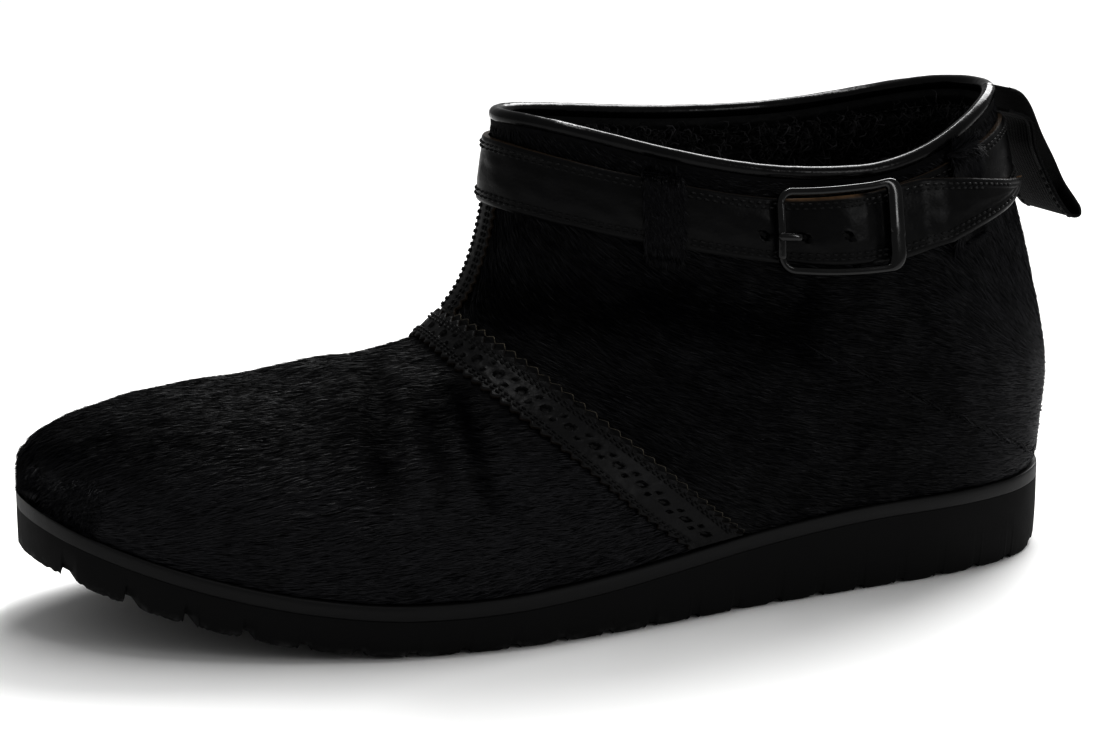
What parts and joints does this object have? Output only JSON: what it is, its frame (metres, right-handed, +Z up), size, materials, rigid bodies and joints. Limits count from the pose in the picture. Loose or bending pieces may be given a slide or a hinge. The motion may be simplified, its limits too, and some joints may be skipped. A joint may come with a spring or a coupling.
{
  "type": "fur-lined brogue boot",
  "caption": "Black calf-hair ankle boot, fur-lined, with a pinked brogue band, a buckled ankle strap and a wedge rubber sole; left shoe.",
  "frame": {"origin": "middle of the shoe's box, on the floor under the sole", "axes": "-Y towards the toe, +Y towards the heel, +X towards the outer side of the left foot, +Z up"},
  "size_m": [0.1092, 0.308, 0.1367],
  "materials": {
    "sole_rubber": "matt black moulded rubber",
    "strip_rubber": "dark grey rubber strip, faint sheen",
    "footbed_shearling": "black shearling",
    "calf_hair": "short black calf hair on leather, silky",
    "piping_leather": "smooth black leather, semi-gloss",
    "band_leather": "smooth black leather, pinked and punched",
    "strip_leather": "smooth black leather, pinked",
    "strap_leather": "smooth black leather, semi-gloss, stitched",
    "keeper_hair": "short black calf hair on leather",
    "buckle_metal": "black enamelled metal, satin",
    "prong_metal": "black enamelled metal, satin",
    "tab_ribbon": "black woven ribbon"
  },
  "bodies": {
    "root": {"outsole": "sole_rubber", "midsole": "strip_rubber", "insole": "footbed_shearling", "upper": "calf_hair", "collar_piping": "piping_leather", "brogue_band": "band_leather", "front_strip": "strip_leather", "ankle_strap": "strap_leather", "keeper_front": "keeper_hair", "keeper_back": "keeper_hair", "buckle_frame": "buckle_metal", "buckle_prong": "prong_metal", "pull_tab": "tab_ribbon"}
  },
  "joints": []
}
